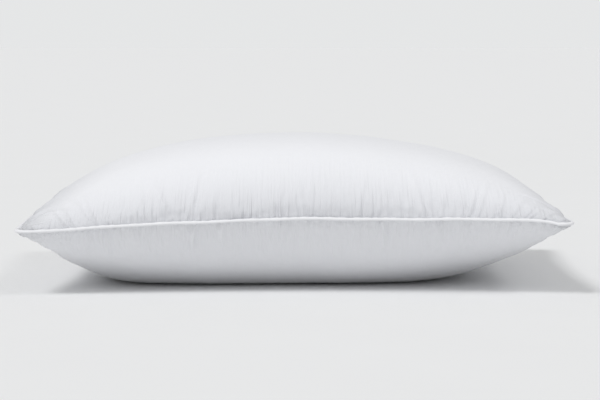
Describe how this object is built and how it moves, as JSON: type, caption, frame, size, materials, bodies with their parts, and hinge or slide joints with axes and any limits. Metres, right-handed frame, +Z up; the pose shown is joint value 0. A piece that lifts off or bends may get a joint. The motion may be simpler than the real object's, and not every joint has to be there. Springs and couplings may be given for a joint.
{
  "type": "bed pillow",
  "caption": "Rectangular bed pillow with a cotton cover, a corded edge round the seam and a soft down fill, to rest a head on.",
  "frame": {"origin": "middle of the flat patch that the pillow rests on, at the bottom centre of its box", "axes": "+X along the long side, -Y towards the front long side, +Z up"},
  "size_m": [0.6426, 0.4938, 0.177],
  "materials": {
    "panel_cotton": "closely woven white cotton, soft sheen",
    "piping_cotton": "white cotton cut on the bias, drawn tight over the cord",
    "cotton_cord": "twisted unbleached cotton cord",
    "down": "loose white down",
    "sewing_thread": "white spun sewing thread",
    "label_tape": "blank white satin tape"
  },
  "bodies": {
    "root": {"upper_panel": "panel_cotton", "lower_panel": "panel_cotton", "down_fill": "down", "piping_cover": "piping_cotton", "piping_cord": "cotton_cord", "needle_thread": "sewing_thread", "bobbin_thread": "sewing_thread", "overlock_thread": "sewing_thread", "closing_stitch": "sewing_thread", "care_label": "label_tape"}
  },
  "joints": []
}
